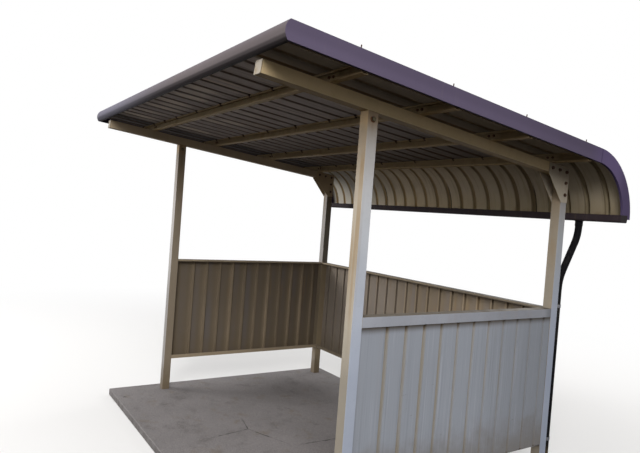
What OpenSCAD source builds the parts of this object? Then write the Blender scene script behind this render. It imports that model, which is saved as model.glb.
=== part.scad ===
// Bicycle shelter: a sloped steel roof with a quarter-round back edge on four square posts,
// open in front, with low ribbed walls on both ends and at the back.
// X runs along the shelter, -Y is the open front, +Y is the back, +Z is up.
// The origin is on the ground under the middle of the roof.

/* [Slab] */
// Thickness of the concrete slab
slab_h = 50; // [40:5:120]
// Reach of the slab past the posts at each end
slab_side = 100; // [60:5:200]
// Reach of the slab ahead of the front posts
slab_front = 385; // [200:5:450]
// Reach of the slab behind the rear posts
slab_rear = 100; // [80:5:200]

/* [Frame] */
// Length over the outer faces of the posts
frame_length = 2560; // [2000:10:3200]
// Depth over the outer faces of the posts
frame_depth = 1560; // [1250:10:1900]
// Width of a square post
post_w = 60; // [50:1:80]
// Wall of the post and rafter tubes
tube_wall = 2.3; // [1.6:0.1:4]
// Height from the slab to the rafter at the front face of the front posts
front_clear = 2030; // [1850:10:2400]
// Fall of the roof towards the back, in degrees
slope = 5.7; // [3:0.1:7]
// Height of the rafter tube
rafter_h = 60; // [50:1:80]
// Reach of the rafters ahead of the front posts, along the slope
rafter_nose = 560; // [400:5:620]
// Thickness of the rafter end cap
cap_t = 4; // [2:0.5:8]

/* [Gussets] */
// Reach of a gusset plate along the rafter, from the back of the post
gusset_reach = 200; // [160:5:260]
// Reach of a gusset plate down the post, below the rafter
gusset_drop = 156; // [120:2:220]
// Thickness of a gusset plate
gusset_t = 3.2; // [2:0.1:6]

/* [Purlins] */
// Depth of the purlin channel
purlin_h = 50; // [40:1:60]
// Width of the purlin flanges
purlin_w = 30; // [24:1:45]
// Height of the purlin lips
purlin_lip = 10; // [6:1:14]
// Sheet thickness of the purlins
purlin_t = 2; // [1.2:0.1:3]
// Front edge of the first purlin, ahead of the front posts along the slope
purlin_front = 233; // [180:1:300]
// Distance from the last purlin's front edge to the back of the frame, along the slope
purlin_back = 190; // [150:1:240]

/* [Roof sheet] */
// Reach of the roof past the posts at each end
end_overhang = 245; // [150:5:350]
// Reach of the rounded front edge ahead of the front posts, along the slope
front_overhang = 605; // [565:5:700]
// Reach of the roof behind the rear posts
rear_overhang = 273; // [250:1:330]
// Outer radius of the rounded back edge
curve_r = 385; // [340:5:460]
// Thickness of the roof sheet
sheet_t = 1.5; // [1:0.1:2.5]
// Height of the ribs in the roof sheet
rib_h = 37; // [25:1:45]
// Width of a roof rib at its foot
rib_foot = 30; // [20:1:40]
// Width of a roof rib at its crest
rib_crest = 22; // [12:1:30]
// Distance between roof ribs
rib_pitch = 130.4; // [100:0.2:160]
// Distance from the right end of the roof to its first rib
rib_first = 112; // [80:1:130]

/* [Trim] */
// Height of the gable and front trims
trim_h = 80; // [70:1:90]
// Sheet thickness of the trims
trim_t = 1.5; // [1:0.1:2.5]
// Width of the trim flange on top of the roof
trim_flange = 60; // [40:1:75]
// Width of the lip under the trims
trim_lip = 14; // [8:1:20]
// Radius of the rounded front edge
nose_r = 58; // [50:1:80]

/* [Gutter] */
// Width of the gutter
gutter_w = 70; // [64:1:90]
// Reach of the gutter behind the flat parts of the curved sheet
gutter_catch = 10; // [6:1:18]
// Height of the gutter
gutter_h = 45; // [38:1:60]
// Radius of the gutter's lower corners
gutter_r = 14; // [8:1:18]
// Depth to which the gutter hangs below the end of the roof sheet
gutter_drop = 22; // [16:1:26]

/* [Drain pipe] */
// Outer diameter of the drain pipe
pipe_d = 42; // [34:1:48]
// Wall of the drain pipe
pipe_wall = 3; // [2:0.5:4]
// Bend radius of the drain pipe at its middle
pipe_bend_r = 220; // [120:5:240]
// Lean of the drain pipe between its two bends, in degrees
pipe_lean = 30; // [25:1:45]
// Gap between the drain pipe and the rear post
pipe_gap = 28; // [20:1:34]
// Distance from the outer face of the rear post in to the middle of the drain pipe
pipe_inset = 38; // [30:1:60]
// Height of the open end of the drain pipe above the slab
pipe_foot = 15; // [5:1:60]

/* [Walls] */
// Height of the top of the wall rails above the slab
wall_top = 1080; // [900:5:1300]
// Height of the foot of the walls above the slab
wall_foot = 255; // [150:5:350]
// Height of the outer leg of the top rail
rail_h = 50; // [35:1:60]
// Height of the inner leg of the top rail
rail_lip = 15; // [8:1:25]
// Height of the inner leg of the foot rail
foot_leg = 30; // [20:1:45]
// Wall thickness of the rails
rail_t = 3; // [1.5:0.1:4]
// Thickness of the wall sheet
panel_t = 1.2; // [0.8:0.1:2]
// Depth of the grooves in the wall sheet
groove_d = 12; // [8:1:18]
// Width of a groove at its mouth
groove_mouth = 24; // [16:1:36]
// Width of a groove at its bottom
groove_floor = 14; // [8:1:20]
// Distance between grooves
groove_pitch = 122; // [90:1:160]
// Play between a wall sheet and the posts beside it
panel_gap = 0.3; // [0.2:0.1:1]

/* [Hidden] */
$fn = 96;

// Number of purlins, and of sheets across the flat roof
purlin_count = 4;
sheet_count = 4;
// Gap between parts that pass closely
play = 0.3;

roof_length = frame_length + 2 * end_overhang;
roof_end = roof_length / 2;
post_out = frame_length / 2;
post_in = post_out - post_w;

// Heights across the slope, measured from the underside of the rafters
purlin_seat = rafter_h;
pan_under = purlin_seat + purlin_h;
trim_top = pan_under + sheet_t + rib_h + trim_t;
trim_mid = trim_top - trim_h / 2;

// Half the angle of the nose arc, and the centre of the arc
nose_half = asin(trim_h / 2 / nose_r);
nose_u = -front_overhang + nose_r;
nose_end_u = nose_u - nose_r * cos(nose_half);

// Depth of the whole roof, which is centred over the origin
front_reach = nose_r - (nose_u * cos(slope) + trim_mid * sin(slope));
roof_depth = front_reach + frame_depth + rear_overhang;
front_y = front_reach - roof_depth / 2;
rear_y = front_y + frame_depth;
back_y = roof_depth / 2;
rafter_z = slab_h + front_clear;

// Centre of the rounded back edge, level with the foot of its trim
curve_y = back_y - curve_r;
curve_z = rafter_z + (trim_top - curve_r - (curve_y - front_y) * sin(slope)) / cos(slope);
// Place along the slope where the round starts
curve_u = (curve_y - front_y) * cos(slope) - (curve_z - rafter_z) * sin(slope);
// Radius of the underside of the roof sheet
pan_r = curve_r - (trim_top - pan_under);

purlin_step = (purlin_front + frame_depth / cos(slope) - purlin_back) / (purlin_count - 1);
rib_count = floor((roof_length - 2 * rib_first + rib_pitch * 0.4) / rib_pitch) + 1;

// Height of the underside of a rafter at a place along Y
function rafter_under(y) = rafter_z - (y - front_y) * tan(slope);
function rafter_over(y) = rafter_under(y) + rafter_h / cos(slope);
function purlin_u(i) = -purlin_front + i * purlin_step;
function rib_x(i) = roof_end - rib_first - i * rib_pitch;

gutter_back = curve_y + pan_r + sheet_t + gutter_catch;
gutter_front = gutter_back - gutter_w;
gutter_mid = (gutter_back + gutter_front) / 2;
gutter_low = curve_z - gutter_drop;

pipe_x = post_out - pipe_inset;
pipe_y = rear_y + pipe_gap + pipe_d / 2;
pipe_shift = gutter_mid - pipe_y;
outlet_h = 34;
outlet_wall = 2;
outlet_r = pipe_d / 2 + play + outlet_wall;

cream = [0.80, 0.75, 0.62];
brown = [0.36, 0.31, 0.32];
deck_grey = [0.45, 0.41, 0.38];
dark_brown = [0.20, 0.16, 0.17];
concrete = [0.60, 0.58, 0.55];
black = [0.08, 0.08, 0.09];

// Frames of reference

// Children lie in the plane of the roof: Y runs down the slope, Z is square to it
module on_slope() {
    translate([0, front_y, rafter_z]) rotate([-slope, 0, 0]) children();
}

// A flat outline in Y and Z, made long in X
module along_x(from, to) {
    translate([from, 0, 0]) rotate([90, 0, 90]) linear_extrude(to - from) children();
}

module both_sides(left) {
    mirror([left ? 1 : 0, 0, 0]) children();
}

// Base and posts

module base_slab() {
    color(concrete) difference() {
        translate([-post_out - slab_side, front_y - slab_front, 0])
            cube([frame_length + 2 * slab_side, slab_front + frame_depth + slab_rear, slab_h]);
        for (side = [-1, 1], y = [front_y, rear_y - post_w])
            translate([side * (post_out - post_w / 2) - post_w / 2, y, -1])
                cube([post_w, post_w, slab_h + 2]);
    }
}

// A square tube whose top is cut to the slope and carries the rafter
module post(left, y) {
    color(cream) both_sides(left) difference() {
        translate([post_in, y, 0]) cube([post_w, post_w, rafter_z]);
        translate([post_in + tube_wall, y + tube_wall, -1])
            cube([post_w - 2 * tube_wall, post_w - 2 * tube_wall, rafter_z + 2]);
        on_slope() translate([0, -frame_depth, 0])
            cube([roof_end, 3 * frame_depth, rafter_z]);
    }
}

// Rafters

module rafter_outline(inset) {
    translate([post_in + inset, inset])
        square([post_w - 2 * inset, rafter_h - 2 * inset]);
}

// A square tube down the slope, cut upright at the back of the rear post
module rafter(left) {
    color(cream) both_sides(left) difference() {
        on_slope() translate([0, -rafter_nose + cap_t, 0]) rotate([90, 0, 0]) mirror([0, 0, 1])
            linear_extrude(rafter_nose + 2 * frame_depth) difference() {
                rafter_outline(0);
                rafter_outline(tube_wall);
            }
        translate([0, rear_y, 0]) cube([roof_end, 2 * frame_depth, 2 * rafter_z]);
    }
}

// Plastic end caps, each a plate over the tube's end with a plug inside the tube
module rafter_cap(left) {
    plug = 12;
    hollow = post_w - 2 * tube_wall;
    color(cream) both_sides(left) {
        on_slope() {
            translate([post_in, -rafter_nose, 0]) cube([post_w, cap_t, rafter_h]);
            translate([post_in + tube_wall, -rafter_nose + cap_t, tube_wall])
                cube([hollow, plug, rafter_h - 2 * tube_wall]);
        }
        translate([0, rear_y, 0]) along_x(post_in, post_in + post_w) polygon([
            [0, rafter_under(rear_y)], [cap_t, rafter_under(rear_y)],
            [cap_t, rafter_over(rear_y)], [0, rafter_over(rear_y)]
        ]);
        intersection() {
            on_slope() translate([post_in + tube_wall, 0, tube_wall])
                cube([hollow, 2 * frame_depth, rafter_h - 2 * tube_wall]);
            translate([0, rear_y - plug, 0]) cube([roof_end, plug, 2 * rafter_z]);
        }
    }
}

// A plate over the joint of rafter and rear post
module gusset(left, outer) {
    edge_inset = 3;
    front = rear_y - gusset_reach;
    foot_z = rafter_under(rear_y - post_w) - gusset_drop;
    x = outer ? post_out : post_in - gusset_t;
    color(cream) both_sides(left) along_x(x, x + gusset_t) polygon([
        [front, rafter_over(front) - edge_inset],
        [front, rafter_under(front) - 2 * edge_inset],
        [rear_y - post_w, foot_z],
        [rear_y, foot_z],
        [rear_y, rafter_over(rear_y) - edge_inset]
    ]);
}

// Purlins

// A lipped channel whose open side faces the front
module purlin(i) {
    end = roof_end - trim_lip - play;
    color(cream) on_slope() along_x(-end, end)
        translate([purlin_u(i), purlin_seat]) difference() {
            square([purlin_w, purlin_h]);
            translate([purlin_t, purlin_t])
                square([purlin_w - 2 * purlin_t, purlin_h - 2 * purlin_t]);
            translate([-1, purlin_lip])
                square([purlin_t + 2, purlin_h - 2 * purlin_lip]);
        }
}

// Angle clips that stand on a rafter and hold the purlins from behind
module purlin_clips(left) {
    clip_t = 3;
    clip_w = 50;
    clip_h = purlin_h - 8;
    clip_foot = 32;
    color(cream) both_sides(left) for (i = [0 : purlin_count - 1]) on_slope()
        translate([post_out - post_w / 2 - clip_w / 2, purlin_u(i) + purlin_w, purlin_seat]) {
            cube([clip_w, clip_t, clip_h]);
            cube([clip_w, clip_foot, clip_t]);
        }
}

// Roof sheet

// Underside of the sheet across one rib; grow moves the line out to the upper side
function rib_line(x, grow) = [
    [x + rib_foot / 2 + grow, grow],
    [x + rib_crest / 2 + grow, rib_h + grow],
    [x - rib_crest / 2 - grow, rib_h + grow],
    [x - rib_foot / 2 - grow, grow]
];

function reversed(list) = [for (i = [len(list) - 1 : -1 : 0]) list[i]];

// Closed outline of the sheet from x_high down to x_low, with the ribs between them
function sheet_outline(x_high, x_low) =
    let (
        ribs = [for (i = [0 : rib_count - 1]) if (rib_x(i) < x_high && rib_x(i) > x_low) rib_x(i)],
        under = [for (x = ribs) each rib_line(x, 0)],
        over = [for (x = ribs) each rib_line(x, sheet_t)]
    )
    concat([[x_high, 0]], under, [[x_low, 0], [x_low, sheet_t]], reversed(over), [[x_high, sheet_t]]);

sheet_high = roof_end - trim_t;

// Edge between two sheets, in the middle of a flat pan
function sheet_edge(n) =
    n == 0 ? sheet_high :
    n == sheet_count ? -sheet_high :
    rib_x(round(n * rib_count / sheet_count)) + rib_pitch / 2;

module roof_sheet(n) {
    front_play = 20;
    color(deck_grey) on_slope() translate([0, curve_u, pan_under]) rotate([90, 0, 0])
        linear_extrude(curve_u + front_overhang - front_play)
            polygon(sheet_outline(sheet_edge(n - 1), sheet_edge(n)));
}

// The same ribs bent round to the gutter
module rear_curve() {
    outline = [for (p = sheet_outline(sheet_high, -sheet_high)) [pan_r + p[1], p[0]]];
    color(cream) translate([0, curve_y, curve_z]) rotate([90, 0, 90])
        rotate_extrude(angle = 90 - slope) polygon(outline);
}

// Trims

// The rounded front edge in profile, with its outer face moved in by inset
module nose_disc(inset) {
    translate([nose_u, trim_mid]) circle(r = nose_r - inset);
}

module front_trim() {
    color(brown) on_slope() along_x(-roof_end + trim_t, roof_end - trim_t) {
        intersection() {
            difference() {
                nose_disc(0);
                nose_disc(trim_t);
            }
            translate([-front_overhang - 1, trim_top - trim_h])
                square([nose_end_u + front_overhang + trim_t + 1, trim_h]);
        }
        translate([nose_end_u, trim_top - trim_t]) square([trim_flange, trim_t]);
        translate([nose_end_u, trim_top - trim_h]) square([trim_lip, trim_t]);
    }
}

// A flat board with a flange on the roof and a lip below, rounded at the front like the front trim
module gable_trim(left) {
    run = curve_u - nose_end_u;
    color(brown) both_sides(left) on_slope() {
        along_x(roof_end - trim_t, roof_end) {
            translate([nose_end_u, trim_top - trim_h]) square([run, trim_h]);
            intersection() {
                nose_disc(0);
                translate([-front_overhang - 1, trim_top - trim_h])
                    square([nose_end_u + front_overhang + trim_t + 1, trim_h]);
            }
        }
        translate([roof_end - trim_flange, nose_end_u + trim_flange, trim_top - trim_t])
            cube([trim_flange - trim_t, run - trim_flange, trim_t]);
        translate([roof_end - trim_lip, nose_end_u + trim_lip, trim_top - trim_h])
            cube([trim_lip - trim_t, run - trim_lip, trim_t]);
    }
}

// Part of a ring round the centre of the back edge, from level up to the slope of the roof
module curve_ring(outer, inner) {
    far = 2 * curve_r;
    translate([curve_y, curve_z]) intersection() {
        difference() {
            circle(r = outer);
            circle(r = inner);
        }
        polygon([[0, 0], [far, 0], [far, far], [far * sin(slope), far * cos(slope)]]);
    }
}

// The trim round the back edge, cut out at its foot for the end of the gutter
module gable_curve(left) {
    color(brown) both_sides(left) difference() {
        union() {
            along_x(roof_end - trim_t, roof_end) curve_ring(curve_r, curve_r - trim_h);
            along_x(roof_end - trim_flange, roof_end - trim_t) curve_ring(curve_r, curve_r - trim_t);
            along_x(roof_end - trim_lip, roof_end - trim_t)
                curve_ring(curve_r - trim_h + trim_t, curve_r - trim_h);
        }
        along_x(roof_end - 2 * trim_lip, roof_end + 1)
            translate([gutter_front, gutter_low]) square([gutter_w + play, gutter_h + play]);
    }
}

// Gutter and drain

module gutter_outline(inset) {
    r = gutter_r - inset;
    low = gutter_low + inset;
    translate([gutter_front + inset, low + r])
        square([gutter_w - 2 * inset, gutter_h]);
    translate([gutter_front + gutter_r, low]) square([gutter_w - 2 * gutter_r, gutter_r]);
    for (y = [gutter_front + gutter_r, gutter_back - gutter_r])
        translate([y, gutter_low + gutter_r]) circle(r = r);
}

module gutter_section() {
    intersection() {
        gutter_outline(0);
        translate([gutter_front, gutter_low]) square([gutter_w, gutter_h]);
    }
}

// A trough whose back stops under the curved sheet
module gutter() {
    end = roof_end - trim_t;
    color(dark_brown) difference() {
        along_x(-end, end) difference() {
            gutter_section();
            gutter_outline(trim_t);
            translate([gutter_mid, curve_z - play]) square([gutter_w, gutter_h]);
        }
        translate([pipe_x, gutter_mid, gutter_low - 1])
            cylinder(r = outlet_r + play, h = gutter_r);
    }
}

// A plate on the end of the trough, level with the outside of the trim
module gutter_cap(left) {
    color(dark_brown) both_sides(left) along_x(roof_end - trim_t, roof_end) gutter_section();
}

// A short socket through the bottom of the gutter, with a flange under it
module gutter_outlet() {
    flange = 5;
    flange_t = 2;
    color(dark_brown) translate([pipe_x, gutter_mid, gutter_low]) difference() {
        union() {
            translate([0, 0, -outlet_h]) cylinder(r = outlet_r, h = outlet_h + trim_t);
            translate([0, 0, -flange_t]) cylinder(r = outlet_r + flange, h = flange_t);
        }
        translate([0, 0, -outlet_h - 1]) cylinder(r = pipe_d / 2 + play, h = outlet_h + trim_t + 2);
    }
}

module pipe_ring(swell) {
    difference() {
        circle(r = pipe_d / 2 + swell);
        circle(r = pipe_d / 2 - pipe_wall + swell);
    }
}

// One of the two bends, a little thicker than the straight runs, turning from upright to the front
module pipe_elbow() {
    swell = 0.4;
    translate([0, -pipe_bend_r, 0]) rotate([90, 0, 90])
        rotate_extrude(angle = -pipe_lean) translate([pipe_bend_r, 0]) pipe_ring(swell);
}

// Straight down, over to the post in two equal bends, and straight down to the slab
module drain_pipe() {
    bend_z = gutter_low - outlet_h;
    bend_y = pipe_bend_r * (1 - cos(pipe_lean));
    bend_drop = pipe_bend_r * sin(pipe_lean);
    lean_run = (pipe_shift - 2 * bend_y) / sin(pipe_lean);
    foot_run = bend_z - 2 * bend_drop - lean_run * cos(pipe_lean) - slab_h - pipe_foot;
    // The straight runs reach a little way into the bends
    tuck = 1;
    color(black) translate([pipe_x, gutter_mid, bend_z]) {
        translate([0, 0, -tuck]) linear_extrude(outlet_h + tuck) pipe_ring(0);
        pipe_elbow();
        translate([0, -bend_y, -bend_drop]) rotate([-pipe_lean, 0, 0]) {
            translate([0, 0, -lean_run]) {
                translate([0, 0, -tuck]) linear_extrude(lean_run + 2 * tuck) pipe_ring(0);
                mirror([0, 1, 0]) {
                    pipe_elbow();
                    translate([0, -bend_y, -bend_drop]) rotate([-pipe_lean, 0, 0])
                        translate([0, 0, -foot_run]) linear_extrude(foot_run + tuck) pipe_ring(0);
                }
            }
        }
    }
}

// Two bands round the pipe, each on a strap to the back of the post
module pipe_clips() {
    band_h = 20;
    band_t = 2;
    strap_t = 3;
    band_r = pipe_d / 2 + play + band_t;
    color(cream) for (z = [slab_h + wall_foot, slab_h + wall_top])
        translate([pipe_x, 0, z]) difference() {
            union() {
                translate([0, pipe_y, 0]) cylinder(r = band_r, h = band_h);
                translate([-strap_t / 2, rear_y, 0]) cube([strap_t, pipe_y - rear_y, band_h]);
                translate([-post_w / 4, rear_y, 0]) cube([post_w / 2, strap_t, band_h]);
            }
            translate([0, pipe_y, -1]) cylinder(r = pipe_d / 2 + play, h = band_h + 2);
        }
}

// Walls

end_wall_run = frame_depth - 2 * post_w;
rear_wall_run = frame_length - 2 * post_w;

// The rails and sheets are drawn with X along the wall from 0, Y = 0 on the outer face
// of the posts and Y growing inwards
module place_wall(side) {
    if (side == "rear")
        translate([rear_wall_run / 2, rear_y, 0]) rotate([0, 0, 180]) children();
    else
        both_sides(side == "left") translate([post_out, front_y + post_w, 0])
            rotate([0, 0, 90]) children();
}

function wall_run(side) = side == "rear" ? rear_wall_run : end_wall_run;

// A rail closed on top, with a high outer leg and a low inner leg
module wall_rail(side) {
    run = wall_run(side);
    top = slab_h + wall_top;
    color(cream) place_wall(side) {
        translate([0, 0, top - rail_t]) cube([run, post_w, rail_t]);
        translate([0, 0, top - rail_h]) cube([run, rail_t, rail_h]);
        translate([0, post_w - rail_t, top - rail_lip]) cube([run, rail_t, rail_lip]);
    }
}

// An angle under the sheet, with its leg on the inside
module foot_rail(side) {
    run = wall_run(side);
    low = slab_h + wall_foot - rail_t;
    color(cream) place_wall(side) {
        translate([0, 0, low]) cube([run, post_w, rail_t]);
        translate([0, post_w - rail_t, low]) cube([run, rail_t, foot_leg]);
    }
}

// Outer face of the sheet across one groove; grow moves the line in to the inner face
function groove_line(x, grow) = [
    [x - groove_mouth / 2 - grow, grow],
    [x - groove_floor / 2 - grow, groove_d + grow],
    [x + groove_floor / 2 + grow, groove_d + grow],
    [x + groove_mouth / 2 + grow, grow]
];

// Upright grooves at an even pitch, with the last one half a pitch from the far end of the wall
module wall_panel(side) {
    run = wall_run(side);
    count = floor(run / groove_pitch);
    last = run - groove_pitch / 2;
    outer = [for (i = [count - 1 : -1 : 0]) each groove_line(last - i * groove_pitch, 0)];
    inner = [for (i = [count - 1 : -1 : 0]) each groove_line(last - i * groove_pitch, panel_t)];
    low = slab_h + wall_foot;
    color(cream) place_wall(side) translate([0, rail_t, low])
        linear_extrude(wall_top - wall_foot - rail_t) polygon(concat(
            [[panel_gap, 0]], outer, [[run - panel_gap, 0], [run - panel_gap, panel_t]],
            reversed(inner), [[panel_gap, panel_t]]
        ));
}

base_slab();
post(true, front_y);  // post_front_left
post(false, front_y);  // post_front_right
post(true, rear_y - post_w);  // post_rear_left
post(false, rear_y - post_w);  // post_rear_right
rafter(true);  // rafter_left
rafter(false);  // rafter_right
rafter_cap(true);  // rafter_cap_left
rafter_cap(false);  // rafter_cap_right
gusset(true, true);  // gusset_left_outer
gusset(true, false);  // gusset_left_inner
gusset(false, true);  // gusset_right_outer
gusset(false, false);  // gusset_right_inner
purlin(0);  // purlin_1
purlin(1);  // purlin_2
purlin(2);  // purlin_3
purlin(3);  // purlin_4
purlin_clips(true);  // purlin_clips_left
purlin_clips(false);  // purlin_clips_right
roof_sheet(1);  // roof_sheet_1
roof_sheet(2);  // roof_sheet_2
roof_sheet(3);  // roof_sheet_3
roof_sheet(4);  // roof_sheet_4
rear_curve();
front_trim();
gable_trim(true);  // gable_trim_left
gable_trim(false);  // gable_trim_right
gable_curve(true);  // gable_curve_left
gable_curve(false);  // gable_curve_right
gutter();
gutter_cap(true);  // gutter_cap_left
gutter_cap(false);  // gutter_cap_right
gutter_outlet();
drain_pipe();
pipe_clips();
wall_rail("left");  // wall_rail_left
wall_rail("right");  // wall_rail_right
wall_rail("rear");  // wall_rail_rear
wall_panel("left");  // wall_panel_left
wall_panel("right");  // wall_panel_right
wall_panel("rear");  // wall_panel_rear
foot_rail("left");  // foot_rail_left
foot_rail("right");  // foot_rail_right
foot_rail("rear");  // foot_rail_rear
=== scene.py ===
"""Looks of the bicycle shelter: materials, fixings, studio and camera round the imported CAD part."""

import math
import random

import bmesh
import bpy
from mathutils import Matrix, Vector


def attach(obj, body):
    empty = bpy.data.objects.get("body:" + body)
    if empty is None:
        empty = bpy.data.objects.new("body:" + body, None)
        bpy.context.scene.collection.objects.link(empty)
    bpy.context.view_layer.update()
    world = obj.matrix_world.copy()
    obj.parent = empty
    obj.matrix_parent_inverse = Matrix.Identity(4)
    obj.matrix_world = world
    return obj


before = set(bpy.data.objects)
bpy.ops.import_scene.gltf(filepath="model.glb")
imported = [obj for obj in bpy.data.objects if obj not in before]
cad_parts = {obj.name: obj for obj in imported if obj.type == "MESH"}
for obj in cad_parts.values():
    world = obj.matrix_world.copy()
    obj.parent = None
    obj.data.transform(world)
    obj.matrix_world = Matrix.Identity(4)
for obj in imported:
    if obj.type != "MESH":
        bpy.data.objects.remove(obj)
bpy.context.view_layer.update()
random.seed(11)

# Sizes repeated from the CAD source, in metres
SLAB_H = 0.05
FRAME_LENGTH = 2.56
FRAME_DEPTH = 1.56
POST_W = 0.06
POST_OUT = FRAME_LENGTH / 2
FRONT_Y = -0.6208
REAR_Y = FRONT_Y + FRAME_DEPTH
RAFTER_Z = 2.08
RAFTER_H = 0.06
SLOPE = math.radians(5.7)
ROOF_END = 1.525
GUSSET_T = 0.0032
PURLINS = 4
PURLIN_H = 0.05
PURLIN_W = 0.03
PURLIN_T = 0.002
PURLIN_FIRST = -0.233
PURLIN_BACK = 0.19
PURLIN_STEP = (FRAME_DEPTH / math.cos(SLOPE) - PURLIN_BACK - PURLIN_FIRST) / (PURLINS - 1)
PAN_UNDER = RAFTER_H + PURLIN_H
SHEET_T = 0.0015
RIB_H = 0.037
RIB_PITCH = 0.1304
RIB_FIRST = ROOF_END - 0.112
TRIM_T = 0.0015
TRIM_TOP = PAN_UNDER + SHEET_T + RIB_H + TRIM_T
NOSE_END_U = -0.589
CURVE_Y, CURVE_Z = 0.8272, 1.6993
WALL_TOP = SLAB_H + 1.08
WALL_FOOT = SLAB_H + 0.255
RAIL_H = 0.05
GROOVE_PITCH = 0.122
END_GROOVES, BACK_GROOVES = 11, 20
PIPE_X = POST_OUT - 0.038

# Whole pitches added to a coordinate, so that a remainder is taken of a positive number
MANY = 100


def on_slope(x, u, v):
    """A point on the roof: x along the shelter, u down the slope from the front posts and v square to it,
    from the rafters' underside."""
    return Vector((
        x,
        FRONT_Y + u * math.cos(SLOPE) + v * math.sin(SLOPE),
        RAFTER_Z - u * math.sin(SLOPE) + v * math.cos(SLOPE),
    ))


DOWN_SLOPE = Vector((0, math.cos(SLOPE), -math.sin(SLOPE)))
OFF_SLOPE = Vector((0, math.sin(SLOPE), math.cos(SLOPE)))


# Materials

def srgb(r, g, b):
    """A screen colour, 0 to 255, as the linear colour that shaders take."""
    def linear(c):
        c /= 255
        return c / 12.92 if c <= 0.04045 else ((c + 0.055) / 1.055) ** 2.4
    return (linear(r), linear(g), linear(b), 1)


def scaled(colour, share):
    """The colour times a number."""
    return tuple(c * share for c in colour[:3]) + (1,)


def varied(colour, low, high):
    """The colour at two strengths."""
    return scaled(colour, low), scaled(colour, high)


class Nodes:
    """A node tree under construction."""

    def __init__(self, tree):
        tree.nodes.clear()
        self.tree = tree

    def add(self, kind, **settings):
        node = self.tree.nodes.new(kind)
        for key, value in settings.items():
            setattr(node, key, value)
        return node

    def join(self, source, target):
        """Links a socket or the top of layers, or sets a plain number or colour."""
        if isinstance(source, Layers):
            source = source.top
        if isinstance(source, bpy.types.NodeSocket):
            self.tree.links.new(source, target)
        else:
            target.default_value = source

    def split(self, vector):
        node = self.add("ShaderNodeSeparateXYZ")
        self.join(vector, node.inputs[0])
        return node.outputs

    def combine(self, x, y, z):
        node = self.add("ShaderNodeCombineXYZ")
        for value, socket in zip((x, y, z), node.inputs):
            self.join(value, socket)
        return node.outputs[0]

    def math(self, operation, a, b=0):
        node = self.add("ShaderNodeMath", operation=operation)
        self.join(a, node.inputs[0])
        self.join(b, node.inputs[1])
        return node.outputs[0]

    def plus(self, a, b):
        return self.math("ADD", a, b)

    def minus(self, a, b):
        return self.math("SUBTRACT", a, b)

    def over(self, a, b):
        return self.math("DIVIDE", a, b)

    def absolute(self, a):
        return self.math("ABSOLUTE", a)

    def times(self, *values):
        product = values[0]
        for value in values[1:]:
            product = self.math("MULTIPLY", product, value)
        return product

    def most(self, *values):
        found = values[0]
        for value in values[1:]:
            found = self.math("MAXIMUM", found, value)
        return found

    def ramp(self, value, low, high, start=0, end=1, kind="LINEAR"):
        """Goes from start to end as value goes from low to high."""
        node = self.add("ShaderNodeMapRange", interpolation_type=kind)
        self.join(value, node.inputs["Value"])
        for key, number in (("From Min", low), ("From Max", high), ("To Min", start), ("To Max", end)):
            node.inputs[key].default_value = number
        return node.outputs["Result"]

    def step(self, value, low, high, start=0, end=1):
        """Goes smoothly from start to end as value goes from low to high, which may be the smaller one."""
        if low > high:
            low, high, start, end = high, low, end, start
        return self.ramp(value, low, high, start, end, "SMOOTHSTEP")

    def blend(self, share, first, second):
        node = self.add("ShaderNodeMixShader")
        for source, socket in zip((share, first, second), node.inputs):
            self.join(source, socket)
        return node.outputs[0]

    def rays(self, *kinds):
        """For each kind of ray, whether the light in hand is one."""
        path = self.add("ShaderNodeLightPath")
        return [path.outputs[f"Is {kind} Ray"] for kind in kinds]


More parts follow.
